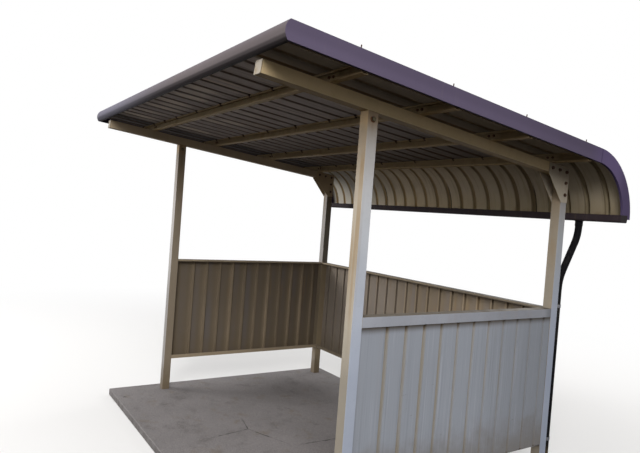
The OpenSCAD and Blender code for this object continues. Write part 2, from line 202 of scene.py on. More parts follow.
class Look(Nodes):
    """A material under construction: a Principled shader and the nodes that feed it."""

    def __init__(self, name, shine=0.5):
        self.material = bpy.data.materials.new(name)
        self.material.use_nodes = True
        super().__init__(self.material.node_tree)
        self.shader = self.add("ShaderNodeBsdfPrincipled")
        self.shader.inputs["Specular IOR Level"].default_value = shine
        self.output = self.add("ShaderNodeOutputMaterial")
        self.join(self.shader.outputs[0], self.output.inputs["Surface"])
        self.place = self.add("ShaderNodeTexCoord").outputs["Object"]
        self.x, self.y, self.z = self.split(self.place)
        self.nx, self.ny, self.nz = self.split(self.add("ShaderNodeNewGeometry").outputs["Normal"])
        self.last_bump = None

    def stretched(self, stretch, shift=(0, 0, 0)):
        """The place on the shelter, stretched and shifted for a texture."""
        node = self.add("ShaderNodeMapping")
        self.join(self.place, node.inputs["Vector"])
        node.inputs["Scale"].default_value = stretch
        node.inputs["Location"].default_value = shift
        return node.outputs[0]

    def noise(self, scale, detail=3, rough=0.55, stretch=(1, 1, 1), shift=(0, 0, 0)):
        """Soft noise round 0.5; a stretch under 1 draws it out along that axis."""
        node = self.add("ShaderNodeTexNoise")
        self.join(self.stretched(stretch, shift), node.inputs["Vector"])
        node.inputs["Scale"].default_value = scale
        node.inputs["Detail"].default_value = detail
        node.inputs["Roughness"].default_value = rough
        return node.outputs[0]

    def cells(self, scale, feature="F1", stretch=(1, 1, 1), output="Distance"):
        node = self.add("ShaderNodeTexVoronoi", feature=feature)
        self.join(self.stretched(stretch), node.inputs["Vector"])
        node.inputs["Scale"].default_value = scale
        return node.outputs[output]

    def random_by(self, number):
        """A random number from 0 to 1 for each whole number."""
        node = self.add("ShaderNodeTexWhiteNoise", noise_dimensions="1D")
        self.join(number, node.inputs["W"])
        return node.outputs["Value"]

    def mix(self, a, b, *shares, blend="MIX"):
        """From a to b, as far as the product of the shares says."""
        node = self.add("ShaderNodeMix", data_type="RGBA", blend_type=blend)
        self.join(self.times(*shares), node.inputs[0])
        self.join(a, node.inputs[6])
        self.join(b, node.inputs[7])
        return node.outputs[2]

    def mix_value(self, a, b, share):
        node = self.add("ShaderNodeMix", data_type="FLOAT")
        self.join(share, node.inputs[0])
        self.join(a, node.inputs[2])
        self.join(b, node.inputs[3])
        return node.outputs[0]

    def distance(self, point, mirrored=True):
        """Distance to a point; mirrored measures on both ends of the shelter at once."""
        x = self.absolute(self.x) if mirrored else self.x
        node = self.add("ShaderNodeVectorMath", operation="DISTANCE")
        self.join(self.combine(x, self.y, self.z), node.inputs[0])
        node.inputs[1].default_value = point
        return node.outputs["Value"]

    def from_line(self, coordinate, phase, pitch):
        """Distance from the nearest of evenly spaced lines, one of them at phase."""
        turned = self.plus(coordinate, pitch / 2 - phase + MANY * pitch)
        return self.absolute(self.minus(self.math("MODULO", turned, pitch), pitch / 2))

    def splash(self, scale, ragged, high, low):
        """Dirt splashed up from the ground: none above high, all of it below low, with a ragged edge."""
        return self.step(self.minus(self.z, self.times(self.noise(scale, 4), ragged)), high, low)

    def colour(self, source):
        self.join(source, self.shader.inputs["Base Color"])

    def roughness(self, source, *ends):
        """Sets the roughness; with two ends it goes from one to the other as the source goes from 0 to 1."""
        if ends:
            source = self.step(source, 0, 1, *ends)
        self.join(source, self.shader.inputs["Roughness"])

    def bump(self, height, depth, strength=1):
        """Adds a bump; depth is the real height of the pattern in metres."""
        node = self.add("ShaderNodeBump")
        node.inputs["Strength"].default_value = strength
        node.inputs["Distance"].default_value = depth
        self.join(height, node.inputs["Height"])
        if self.last_bump:
            self.join(self.last_bump, node.inputs["Normal"])
        self.last_bump = node.outputs[0]
        self.join(self.last_bump, self.shader.inputs["Normal"])


class Layers:
    """A mix of two colours, and others laid over it as far as the product of their shares says."""

    def __init__(self, look, a, b, *shares):
        self.look = look
        self.top = look.mix(a, b, *shares)

    def tint(self, colour, *shares):
        self.top = self.look.mix(self.top, colour, *shares)

    def shade(self, level, *shares):
        """Multiplies by a grey level."""
        self.top = self.look.mix(self.top, (level, level, level, 1), *shares, blend="MULTIPLY")


CREAM = srgb(174, 164, 148)
# Painted bluish skylight: the posts' outer end faces
CREAM_SKYLIT_END = srgb(184, 186, 190)
# Painted shade: the posts' inner faces
CREAM_SHADED_INNER = srgb(150, 136, 117)
CREAM_CURVE = srgb(214, 198, 172)
BEAM = srgb(192, 176, 144)
# Painted light: the beams' outer end faces, brighter than their paint
BEAM_LIT_END = srgb(242, 217, 172)
RAIL = srgb(170, 153, 128)
# The wall sheets' grey outside, its blue partly painted skylight
WALL_OUTSIDE = srgb(143, 147, 155)
WALL_INSIDE = srgb(138, 123, 103)
# Painted sheen: the grey beside one rib of each pan inside
WALL_INSIDE_SHEEN_GREY = srgb(134, 126, 122)
ROOF_PAINT = srgb(84, 75, 76), srgb(102, 92, 93)
STAIN = srgb(142, 113, 70)
SOOT = srgb(84, 74, 62)
MUD = srgb(104, 90, 70)
RUST = srgb(112, 62, 34)
DUST = srgb(148, 136, 116)

# Painted reflections of light, pale patches on the underside of the deck: middle in X and Y, half length and
# strength
REFLECTION_PATCHES = (
    (0.305, -1.04, 0.12, 0.8), (0.174, -1.02, 0.11, 0.6), (0.044, -1.01, 0.12, 0.9),
    (-0.217, -1.02, 0.12, 0.9), (-0.348, -1, 0.11, 0.75), (-0.478, -1.01, 0.13, 0.9),
    (-0.739, -1.02, 0.1, 0.6), (-1, -1, 0.15, 0.95), (-1, -0.59, 0.15, 1),
    (-0.478, -0.64, 0.13, 0.8), (-0.348, -0.56, 0.12, 0.8), (0.044, -0.64, 0.11, 0.35),
)
PATCH_HALF_W = 0.048

POST_BOLT = (POST_OUT, FRONT_Y + POST_W / 2, RAFTER_Z - 0.038)
GUSSET_BOLT_STEP = 0.07
GUSSET_BOLT_DROPS = (0.065, 0.137)


def gusset_bolt_places():
    """Y and Z of the five bolts of a gusset plate: three along the rafter and two down the post."""
    last_u = (REAR_Y - POST_W / 2 - FRONT_Y - RAFTER_H / 2 * math.sin(SLOPE)) / math.cos(SLOPE)
    row = [on_slope(0, last_u - GUSSET_BOLT_STEP * i, RAFTER_H / 2) for i in range(3)]
    column = [row[0] - Vector((0, 0, drop)) for drop in GUSSET_BOLT_DROPS]
    return [(p.y, p.z) for p in row + column]


def post_tones(look, colour, outward, across):
    """The posts' tones: painted bluish skylight on the outer faces low down, tan and brown under the roof,
    and painted shade on the far rear post beside the walls.
    """
    step, x, y, z = look.step, look.x, look.y, look.z
    # Painted bluish skylight on the outer faces low down
    colour.tint(srgb(160, 174, 204), step(z, 1.7, 0.8), look.times(outward, across), 0.42)
    colour.tint(srgb(150, 138, 112), step(z, 1.9, 2.02), 0.4)
    top = look.times(step(z, 1.98, 2.05), step(y, 0, -0.4))
    colour.tint(srgb(148, 122, 90), top, across, 0.7)
    colour.tint(srgb(226, 188, 130), top, step(across, 1, 0), 0.75)
    # Painted shade, brown, on the far rear post beside the walls
    wall_shade = look.times(step(y, 0.8, 0.86), step(x, -1, -1.2), step(z, 1.16, 1.1))
    colour.tint(srgb(156, 139, 112), wall_shade, step(z, 0.1, 0.3, 0.35, 0.92))


def rail_lip(look, outward, across):
    """The lower part of the rails' short inner legs, which is in their own shade."""
    step, z = look.step, look.z
    leg = look.most(
        look.times(step(look.ny, -0.5, -0.9), step(look.y, 0.5, 0.8)),
        look.times(across, step(outward, 1, 0)),
    )
    below, above = step(z, WALL_TOP - 0.0075, WALL_TOP - 0.0105), step(z, WALL_TOP - 0.02, WALL_TOP - 0.016)
    return look.times(below, above, leg)


def rust_round(look, colour, at, radius, strength):
    """A ragged ring of rust round a bolt and a run of rust down from it, at both ends of the shelter."""
    step, times, noise = look.step, look.times, look.noise
    ragged = look.plus(look.distance(at), times(noise(150, 3), radius * 0.7))
    ring = step(ragged, radius * 1.55, radius * 0.95)
    beside = look.absolute(look.minus(look.y, at[1]))
    beside = look.plus(beside, times(noise(60, 3, 0.5, (1, 1, 0.15)), radius * 0.7))
    drop = look.minus(at[2], look.z)
    run = times(
        step(beside, radius * 1.15, radius * 0.35),
        step(drop, 0, 0.006),
        step(drop, radius * 5.5, radius * 1),
    )
    colour.tint(RUST, look.most(ring, times(run, 0.28)), strength)


def cream_paint(
    name, front, side, inner, streaks, streak_length, rust_at=(), back_shade=0.25, under=0.8, back_inner_shade=1, far=0
):
    """Chalky cream paint with drips, dirt and rust round some bolts.

    front is the colour of the front and back faces, side that of the outer end faces, with painted light on
    the posts, beams and rails, and inner that of the inner ones, with painted shade on the posts. aged is
    painted shade at the back of the shelter, nook painted shade on the inner faces there, under painted
    shade on what faces down, and far painted light that makes the front faces paler toward the far end. The
    name adds touches of its own, some of them painted shade.
    """
    look = Look(name, shine=0.3)
    step, times, noise, x, y, z = look.step, look.times, look.noise, look.x, look.y, look.z
    down = step(look.nz, -0.5, -0.9)
    look.join(step(down, 0, 1, 0.3, 0.04), look.shader.inputs["Specular IOR Level"])
    across = step(look.absolute(look.nx), 0.5, 0.9)
    outward = step(times(x, look.nx), -0.02, 0.02)
    # Painted light: front faces paler toward the far end
    front = look.mix(front, srgb(194, 192, 194), step(x, -0.2, -1.2), far)
    # Painted light and shade: the outer end faces take side and the inner ones inner
    colour = Layers(look, front, look.mix(inner, side, outward), across)
    colour.shade(0.86, step(noise(2.3, 4), 0.65, 0.35))
    colour.shade(0.8, step(noise(45, 5, 0.6), 0.54, 0.8), 0.5)
    # Painted shade at the back of the shelter, on the inner faces there, and on what faces down
    toward_back = step(y, -0.45, 0.6)
    colour.shade(1 - back_shade, toward_back, step(x, -1, 0, 0.3, 1))
    colour.shade(back_inner_shade, toward_back, across, step(outward, 1, 0))
    colour.shade(under, down)
    # Drips run down, so the pattern is long in Z; the front and back faces have most of them
    thin = step(noise(30, 4, 0.5, (1, 1, streak_length)), 0.5, 0.72)
    wide = step(noise(13, 3, 0.5, (1, 1, streak_length * 0.6), (3, 1, 0)), 0.5, 0.66)
    patches = step(noise(2.6, 3, 0.6, (1, 1, 0.6), (7, 2, 5)), 0.4, 0.6, 0.25, 1)
    where = times(step(across, 0, 1, 1, 0.3), step(z, 0.6, 1.4, 0.45, 1))
    drips = times(look.most(thin, times(wide, 0.8)), patches, where, streaks)
    colour.tint(STAIN, drips)
    # Painted shade toward the front ends of the rafters, behind the front trim
    colour.shade(0.76, step(y, -0.96, -1.12), across, step(x, 0, 1))
    if name.startswith("post"):
        post_tones(look, colour, outward, across)
    if name.startswith("rail"):
        # The rear rail's outer face takes side, its blue partly painted skylight
        colour.tint(side, step(look.ny, 0.5, 0.9))
        # Painted shade on the lower part of the inner legs
        colour.shade(0.45, rail_lip(look, outward, across))
    if name.startswith("purlin"):
        # Painted shade near the ends, outside the rafter
        colour.shade(0.5, step(x, 1.28, 1.32))
    if name.startswith("gusset"):
        # Painted shade at the top of the plates, under the roof
        colour.shade(0.9, step(z, 1.86, 2))
    # Painted shade near the ground, most on the front and back faces, and on those faces under the roof;
    # browner under the roof
    colour.shade(0.62, step(z, 1.2, 0.75), step(across, 0, 1, 1, 0.3))
    colour.shade(0.78, step(z, 1.6, 1.95), step(across, 1, 0))
    brown = times(
        step(z, 1.5, 2.02),
        step(across, 0, 1, 0.55, 0.34),
        step(x, -1, 0, 1 - 0.6 * far, 1),
    )
    colour.tint(scaled(STAIN, 0.9), brown)
    # Dust settles on every face that looks up, and the rails' tops are grey with it
    settled = times(step(look.nz, 0.5, 0.95), step(noise(14, 4), 0.32, 0.62, 0.3, 0.75))
    if name.startswith("rail"):
        colour.tint(srgb(80, 75, 68), look.most(settled, step(look.nz, 0.6, 0.9, 0, 0.85)))
        # Inside the shelter, painted shade on the rear rail toward the near end
        colour.shade(0.58, step(y, 0.8, 0.88), step(look.ny, 0.5, 0), step(x, 0.1, 0.6))
    else:
        colour.tint(MUD, settled)
    splash = look.splash(11, 0.22, 0.16, -0.02)
    colour.tint(MUD, splash, 0.75)
    chips = step(noise(120, 3, 0.7), 0.67, 0.74)
    colour.tint(SOOT, chips, 0.45)
    for at, radius, strength in rust_at:
        rust_round(look, colour, at, radius, strength)
    look.colour(colour)
    look.roughness(look.most(drips, settled, splash), 0.55, 0.82)
    look.bump(noise(420, 2), 0.00005, 0.6)
    look.bump(noise(5.5, 2, 0.4), 0.0012, 0.5)
    return look.material


def wall_sheet(name, rear, phase, count, inner_shade_level):
    """Ribbed wall sheet, cool grey outside and tan inside, stained where water runs down its grooves, with
    painted light and shade.

    phase is the place of the first of the count grooves, along X for the rear wall and along Y for the
    others. inner_shade_level is the level of painted shade on the inside.
    """
    look = Look(name, shine=0.25)
    step, times, noise, z = look.step, look.times, look.noise, look.z
    along = look.x if rear else look.y
    outward = times(look.y, look.ny) if rear else times(look.x, look.nx)
    inside = step(outward, 0.02, -0.02)
    lean = -1 if rear else 1
    # The lines of stain keep to the grooves: beyond the last ones the sheet is flat
    middle = phase + (count - 1) / 2 * GROOVE_PITCH
    from_middle = look.absolute(look.minus(along, middle))
    grooved = step(from_middle, (count - 0.35) / 2 * GROOVE_PITCH, (count - 0.6) / 2 * GROOVE_PITCH)
    shade = noise(1.7, 4, 0.55)
    uneven = noise(6.5, 4, 0.6, (1, 1, 0.35))
    streak = noise(38, 4, 0.5, (1, 1, 0.035))
    fine = noise(88, 4, 0.6, (1, 1, 0.018), (2, 6, 1))
    tone = step(noise(3.1, 4, 0.6, (1, 1, 0.25), (5, 9, 1)), 0.4, 0.7)
    wander = times(look.minus(streak, 0.5), 0.01)

    def line(shift, soft, hard, wavy=True):
        """A soft upright line along every groove, shifted from its middle."""
        away = look.from_line(along, phase + lean * shift, GROOVE_PITCH)
        return times(step(look.plus(away, wander) if wavy else away, soft, hard), grooved)

    # Outside: fine bluish streaks, a painted shadow line beside each groove and a tan line down each groove
    grey = scaled(WALL_OUTSIDE, 0.86)
    outer = Layers(look, *varied(WALL_OUTSIDE, 0.95, 1.05), shade)
    outer.tint(grey, step(streak, 0.5, 0.68), step(uneven, 0.35, 0.65), 0.6)
    outer.shade(0.82, step(fine, 0.52, 0.66), step(tone, 0, 1, 0.3, 0.9))
    outer.tint(srgb(176, 178, 188), step(fine, 0.46, 0.34), step(uneven, 0.35, 0.65), 0.35)
    outer.shade(0.9, line(-0.019, 0.007, 0.002), step(uneven, 0.6, 0.3))
    front_more = 0.6 if rear else step(along, 0.75, -0.25, 0.45, 1)
    tan_line = times(line(0.002, 0.0115, 0.004), step(uneven, 0.28, 0.6, 0.55, 1), front_more)
    outer.tint(srgb(142, 132, 114), tan_line, 0.85)
    # Painted shadow of the rail, with a dark notch of painted shade in each groove, and painted shade toward
    # the back
    edge = WALL_TOP - RAIL_H
    outer.tint(srgb(66, 60, 55), look.math("POWER", step(z, edge - 0.046, edge), 1.5))
    notch = times(line(0.001, 0.0115, 0.006, False), step(z, edge - 0.044, edge - 0.012))
    outer.tint(srgb(84, 70, 52), notch, step(inside, 0.6, 0.2), front_more, 0.85)
    outer.shade(0.76, step(look.y, 0.1, 0.85))
    # Inside: painted sheen and shade across each pan, grey beside one rib to tan beside the next, with a
    # painted highlight before each rib and a painted shadow line on a rib's side
    pan = look.plus(times(look.minus(along, phase + lean * 0.014), lean / GROOVE_PITCH), MANY)
    part = look.math("FRACT", pan)
    chance = look.random_by(look.math("FLOOR", pan))
    greyer = step(tone, 0, 1, 0.2, 0.6 if rear else 0.9)
    # Painted highlight before each rib, stronger at some ribs than at others
    pale = times(
        0.45 if rear else 1,
        step(part, 0.5, 0.88),
        step(uneven, 0.3, 0.62, 0.45, 1),
        step(chance, 0, 1, 0.25, 0.75),
        grooved,
    )
    # Painted shadow on one side of each rib
    rib_side = times(line(0.0125, 0.007, 0.0032), step(uneven, 0.3, 0.6, 0.55, 0.95))
    inner = Layers(look, *varied(WALL_INSIDE, 0.9, 1.06), shade)
    inner.tint(WALL_INSIDE_SHEEN_GREY, step(part, 0.62, 0.2), greyer)
    inner.tint(srgb(200, 178, 148), pale)
    inner.tint(srgb(96, 80, 60), rib_side)
    # Painted shade over the whole inside
    inner.shade(inner_shade_level, 1)
    if rear:
        # Painted light, greyer, toward the far end of the rear wall
        inner.tint(srgb(146, 136, 126), step(look.x, 0.15, -0.4, 0, 0.6))
        # Painted shade on the rib sides that face the near end
        inner.shade(0.55, step(look.nx, 0.25, 0.6))
    colour = Layers(look, outer, inner, inside)
    # Dirt on both faces
    runs = times(
        step(streak, 0.53, 0.7),
        step(z, 0.55, WALL_TOP - 0.06, 0.1, 0.55),
        step(noise(4.2, 3), 0.42, 0.62),
        step(inside, 0, 1, 0.25, 1),
    )
    colour.tint(STAIN, runs, 0.55)
    under_rail = times(step(z, WALL_TOP - 0.12, WALL_TOP - 0.045), step(noise(16, 4), 0.35, 0.65))
    colour.tint(MUD, under_rail, step(inside, 0, 1, 0.1, 0.4))
    splash = look.splash(9, 0.3, 0.42, 0.16)
    colour.tint(MUD, splash, 0.45)
    scuffs = step(noise(18, 5, 0.7, (1, 1, 3), (4, 4, 4)), 0.64, 0.71)
    look.colour(look.mix(colour, SOOT, scuffs, step(z, 0.95, 0.6), 0.35))
    dirt = look.most(tan_line, runs, splash, times(inside, 0.8))
    look.roughness(dirt, 0.5, 0.8)
    look.bump(noise(3.2, 2, 0.4, (1, 1, 0.5)), 0.003, 0.5)
    look.bump(noise(380, 2), 0.00005, 0.5)
    return look.material


def reflection_patches(look):
    """Painted reflections of light on the deck's backing coat: soft ragged pale patches, each within its
    pan.
    """
    ragged = look.times(look.minus(look.noise(30, 4, 0.6, (1, 0.1, 1), (1, 8, 3)), 0.5), 1.3)
    worn = 0
    for x, y, half_length, strength in REFLECTION_PATCHES:
        across = look.over(look.minus(look.x, x), PATCH_HALF_W)
        along = look.over(look.minus(look.y, y), half_length)
        away = look.add("ShaderNodeVectorMath", operation="LENGTH")
        look.join(look.combine(across, along, 0), away.inputs[0])
        patch = look.step(look.plus(away.outputs["Value"], ragged), 1.25, 0.45)
        worn = look.most(worn, look.times(patch, strength))
    return worn


def roof_sheet(name):
    """Deck sheet: dull brown paint above; below, a streaky backing coat with pale streaks and patches of
    painted reflection, and painted shade.
    """
    look = Look(name, shine=0.03)
    step, noise, x, y = look.step, look.noise, look.x, look.y
    # Pans are counted from 50 pans beyond the near end, so that their numbers are positive
    pan = look.math("FLOOR", look.over(look.plus(x, 50 * RIB_PITCH - RIB_FIRST), RIB_PITCH))
    chance = look.random_by(pan)
    from_rib = look.from_line(x, RIB_FIRST, RIB_PITCH)
    streak = noise(42, 4, 0.55, (1, 0.035, 0.5))
    broad = noise(5, 4, 0.55, (1, 0.25, 1))
    coat = Layers(look, srgb(189, 182, 181), srgb(225, 215, 213), broad)
    # Painted reflections: pale streaks down some pans
    coat.tint(srgb(234, 214, 192), step(streak, 0.5, 0.66), step(chance, 0.25, 0.9), 0.55)
    coat.tint(srgb(124, 110, 97), step(streak, 0.46, 0.34), 0.5)
    coat.tint(srgb(150, 130, 100), step(y, -0.3, 0.5, 0, 0.3))
    # Painted shade toward the near end
    coat.shade(0.88, step(x, 0.5, 0.8))
    # Painted reflections: pale patches
    coat.tint(srgb(255, 244, 232), reflection_patches(look))
    # Painted shade, darker toward the back and dark and bluish along the far rafter; browner toward the back
    coat.shade(0.38, step(y, -1, 0.8))
    coat.tint(srgb(92, 76, 54), step(y, 0.35, 0.9), 0.5)
    coat.tint(srgb(74, 76, 80), step(x, -1.05, -1.22), 0.55)
    coat.shade(0.6, step(x, -1.14, -1.24))
    # Painted shade, brown, outside the near rafter; brown along the ribs' feet; painted shade in the ribs'
    # hollows, with painted light in them outside the near rafter
    outboard = step(x, 1.09, 1.13)
    coat.tint(look.mix(srgb(126, 114, 96), srgb(134, 122, 104), broad), outboard, 0.85)
    hollow = step(from_rib, 0.017, 0.0125)
    coat.tint(look.mix(srgb(116, 100, 84), srgb(220, 196, 162), outboard), hollow, 0.8)
    foot = step(from_rib, 0.024, 0.0155)
    coat.tint(srgb(110, 86, 66), foot, step(noise(20, 4, 0.6, (1, 0.2, 1)), 0.3, 0.6), 0.55)
    # Above: dust that the rain has drawn down the slope, and silt beside the ribs
    runoff = noise(30, 5, 0.6, (1, 0.06, 1), (2, 0, 0))
    paint = Layers(look, *ROOF_PAINT, broad)
    paint.tint(DUST, step(runoff, 0.45, 0.72), 0.34)
    silt = step(from_rib, 0.036, 0.018)
    paint.tint(srgb(88, 76, 60), silt, step(noise(12, 4), 0.3, 0.6), 0.55)
    below = step(look.nz, 0.05, -0.05)
    look.colour(look.mix(paint, coat, below))
    look.roughness(look.mix_value(step(runoff, 0.35, 0.7, 0.45, 0.65), 0.85, below))
    look.bump(noise(6, 2, 0.4, (1, 0.5, 1)), 0.002, 0.5)
    look.bump(noise(300, 2), 0.00005, 0.5)
    return look.material


def curve_sheet(name):
    """The bent sheet: the deck's brown outside, cream inside with dirt in the ribs and along the foot."""
    look = Look(name, shine=0.06)
    step, times, noise, x, z = look.step, look.times, look.noise, look.x, look.z
    from_axis = times(look.minus(look.y, CURVE_Y), look.ny), times(look.minus(z, CURVE_Z), look.nz)
    outside = step(look.plus(*from_axis), -0.02, 0.02)
    broad = noise(3.5, 4, 0.55)
    drip = noise(46, 4, 0.5, (1, 0.12, 0.05))
    inner = Layers(look, *varied(CREAM_CURVE, 0.9, 1.06), broad)
    inner.tint(srgb(160, 142, 112), step(drip, 0.5, 0.7), 0.4)
    # Paler at the foot, with dirt just over the gutter, and grey toward the far end
    low = look.plus(z, times(noise(15, 3), 0.08))
    foot = step(low, CURVE_Z + 0.24, CURVE_Z + 0.05)
    inner.tint(srgb(222, 200, 160), foot, 0.6)
    dirty = times(step(low, CURVE_Z + 0.085, CURVE_Z + 0.045), step(noise(22, 4), 0.35, 0.65))
    inner.tint(srgb(150, 120, 78), dirty, 0.5)
    inner.tint(srgb(196, 194, 188), step(x, -0.3, -1.1), 0.7)
    # Painted light in the ribs' hollows, and a darker brown line along one side of each rib
    hollow = step(look.from_line(x, RIB_FIRST, RIB_PITCH), 0.0165, 0.0135)
    inner.tint(srgb(226, 206, 168), hollow, 0.8)
    rib_side = step(look.from_line(x, RIB_FIRST - 0.018, RIB_PITCH), 0.0055, 0.002)
    inner.tint(srgb(122, 104, 74), rib_side, step(drip, 0.3, 0.6, 0.5, 1), 0.7)
    # Painted shade toward the near end, under the gable, most of all at its foot
    near_end = step(x, 0.95, 1.25)
    upper = step(z, CURVE_Z + 0.02, CURVE_Z + 0.2)
    inner.shade(0.54, step(x, -0.5, 1.25))
    inner.shade(0.62, near_end, step(z, CURVE_Z + 0.14, CURVE_Z + 0.02))
    inner.shade(0.95, near_end, upper, step(hollow, 0, 1, 1, 0.35))
    # Laps between the bent sheets, beside every sixth rib
    lap = look.from_line(x, RIB_FIRST - 4 * RIB_PITCH + 0.019, 6 * RIB_PITCH)
    lap = times(step(lap, 0.0062, 0.003), step(z, CURVE_Z + 0.24, CURVE_Z + 0.15))
    inner.tint(srgb(40, 30, 20), lap, 0.95)
    paint = Layers(look, *ROOF_PAINT, broad)
    paint.tint(DUST, step(drip, 0.48, 0.7), 0.32)
    look.colour(look.mix(inner, paint, outside))
    look.roughness(look.most(foot, hollow), 0.65, 0.85)
    look.bump(noise(7, 2, 0.4), 0.0015, 0.5)
    look.bump(noise(320, 2), 0.00005, 0.5)
    return look.material


def trim_paint(name, base, faded, dust, back=1):
    """Dull brown paint, faded and dusty on top, with painted shade underneath and fine drip marks.

    back is the level of painted shade that the gables darken to, toward the back and along their upper edge.
    """
    look = Look(name, shine=0.01)
    step, times, noise, x, y, z, nz = look.step, look.times, look.noise, look.x, look.y, look.z, look.nz
    up = step(nz, 0.1, 0.85)
    colour = Layers(look, *varied(base, 0.92, 1.08), noise(2.6, 4))
    colour.tint(faded, up, step(noise(9, 4), 0.25, 0.7, 0.5, 0.9))
    drip = times(step(noise(60, 4, 0.5, (1, 1, 0.1)), 0.54, 0.74), step(noise(5, 3), 0.42, 0.62))
    colour.tint(DUST, drip, dust)
    if name.startswith("front"):
        # Painted bluish reflection toward the far end, painted shade toward the near end, and painted shade
        # where the nose turns under
        colour.tint(srgb(114, 112, 126), step(x, 0.6, -1.2, 0, 0.85))
        colour.shade(0.86, step(x, 0.5, 1.3))
        colour.shade(0.2, step(nz, 0.01, -0.48), step(x, -0.8, 0.4, 0.78, 1))
    else:
        # Painted shade on what faces down
        colour.shade(0.22, step(nz, -0.05, -0.7))
    scratches = step(noise(34, 5, 0.75, (0.4, 0.4, 3), (9, 1, 2)), 0.68, 0.72)
    colour.tint(scaled(base, 1.6), scratches, 0.35)
    specks = step(noise(240, 3, 0.6), 0.64, 0.72)
    colour.tint(scaled(base, 0.6), specks, 0.5)
    # Where the straight board and the bent one meet on the gables
    u = look.minus(times(y, math.cos(SLOPE)), times(z, math.sin(SLOPE)))
    joint_u = CURVE_Y * math.cos(SLOPE) - CURVE_Z * math.sin(SLOPE) + 0.004
    joint = step(look.absolute(look.minus(u, joint_u)), 0.0058, 0.0026)
    joint = times(joint, step(look.absolute(x), ROOF_END - 0.07, ROOF_END - 0.06))
    colour.tint(scaled(base, 0.15), joint, 0.85)
    # The gables are darker along their upper edge, and painted shade darkens them toward the back
    rise = times(look.minus(z, RAFTER_Z), math.cos(SLOPE))
    height = look.plus(times(look.minus(y, FRONT_Y), math.sin(SLOPE)), rise)
    colour.shade(back, step(y, -0.3, 0.9))
    colour.shade(back, step(height, 0.085, 0.125))
    # Painted mauve sky tint on the bent gable boards; back is under 1 only on the gables
    colour.tint(srgb(97, 83, 122), step(y, 0.7, 0.95), step(back, 1, 0.95), 0.55)
    # Painted shade toward the back end of the bent boards
    colour.shade(0.7, step(y, 1.02, 1.14))
    look.colour(colour)
    look.roughness(look.most(drip, times(up, 0.7)), 0.52, 0.72)
    look.bump(noise(4.5, 2, 0.4), 0.0018, 0.5)
    look.bump(noise(420, 2), 0.00004, 0.5)
    return look.material


def gutter_paint(name):
    look = Look(name, shine=0.1)
    step, noise = look.step, look.noise
    # Dark brown, partly paint and partly painted shade
    colour = Layers(look, *varied(srgb(47, 39, 42), 0.85, 1.15), noise(6, 4))
    drip = step(noise(40, 4, 0.5, (1, 1, 0.15)), 0.52, 0.74)
    colour.tint(srgb(84, 72, 62), drip, 0.3)
    settled = step(look.nz, 0.4, 0.9)
    colour.tint(srgb(80, 70, 58), settled, step(noise(18, 4), 0.3, 0.6))
    # Painted shade on the end caps
    colour.shade(0.45, step(look.absolute(look.nx), 0.5, 0.9))
    look.colour(colour)
    look.roughness(look.most(drip, settled), 0.6, 0.85)
    look.bump(noise(9, 2), 0.0008, 0.5)
    look.bump(noise(400, 2), 0.00004, 0.5)
    return look.material


def black_plastic(name):
    """The drain's black plastic, dusty, and muddy at the foot."""
    look = Look(name, shine=0.03)
    step, noise = look.step, look.noise
    colour = Layers(look, *varied(srgb(15, 15, 17), 0.8, 1.25), noise(8, 4))
    dusty = look.times(step(noise(26, 4, 0.55, (1, 1, 0.3)), 0.48, 0.72), 0.14)
    colour.tint(srgb(90, 86, 80), dusty)
    splash = look.splash(12, 0.25, 0.2, 0)
    look.colour(look.mix(colour, MUD, splash, 0.6))
    look.roughness(step(look.most(dusty, splash), 0, 0.6, 0.6, 0.8))
    look.bump(noise(160, 3), 0.00012, 0.6)
    return look.material


def cap_plastic(name):
    look = Look(name)
    colour = Layers(look, *varied(srgb(124, 109, 84), 0.92, 1.04), look.noise(20, 4))
    stain = look.step(look.noise(55, 4, 0.6, (1, 1, 0.3)), 0.52, 0.74)
    look.colour(look.mix(colour, STAIN, stain, 0.35))
    look.roughness(stain, 0.48, 0.7)
    look.bump(look.noise(600, 2), 0.00006, 0.6)
    return look.material


def concrete(name):
    """Cast concrete: cement skin with sand showing through, stains, cracks and pores."""
    look = Look(name)
    step, times, noise = look.step, look.times, look.noise
    cement = Layers(look, srgb(99, 95, 95), srgb(127, 122, 122), noise(2.4, 6, 0.6))
    cement.tint(srgb(84, 79, 78), step(noise(5.5, 6, 0.65, shift=(3, 3, 3)), 0.52, 0.7), 0.6)
    grain_tone = look.split(look.cells(260, output="Color"))[0]
    cement.tint(srgb(146, 139, 132), step(grain_tone, 0.8, 0.95), 0.45)
    cement.tint(srgb(64, 60, 57), step(grain_tone, 0.16, 0.04), 0.5)
    stains = times(step(noise(9, 5, 0.6, shift=(8, 1, 6)), 0.56, 0.72), 0.4)
    cement.tint(srgb(96, 82, 62), stains)
    # Darker sides, partly dirt and partly painted shade
    side = step(look.nz, 0.6, 0.2)
    cement.tint(srgb(76, 71, 67), side, step(noise(14, 4, 0.6, (1, 1, 0.4)), 0.3, 0.7), 0.7)
    crack_field = look.cells(1.15, "DISTANCE_TO_EDGE", (1, 1.3, 1))
    wander = look.plus(crack_field, times(noise(22, 4), 0.035))
    cracked = step(noise(1.3, 2, 0.5, shift=(5, 5, 5)), 0.5, 0.56)
    crack = times(step(wander, 0.0245, 0.0195), cracked)
    cement.tint(srgb(46, 42, 39), crack, 0.8)
    pores = times(step(look.cells(95), 0.16, 0.06), step(noise(12, 3), 0.45, 0.6))
    look.colour(look.mix(cement, srgb(58, 53, 49), pores, 0.7))
    look.roughness(step(noise(5.5, 4), 0.3, 0.7, 0.8, 0.95))
    look.bump(noise(1.8, 3), 0.004, 0.4)
    look.bump(noise(140, 5, 0.65), 0.0008, 0.7)
    look.bump(look.minus(1, look.most(pores, crack)), 0.0015, 0.7)
    return look.material


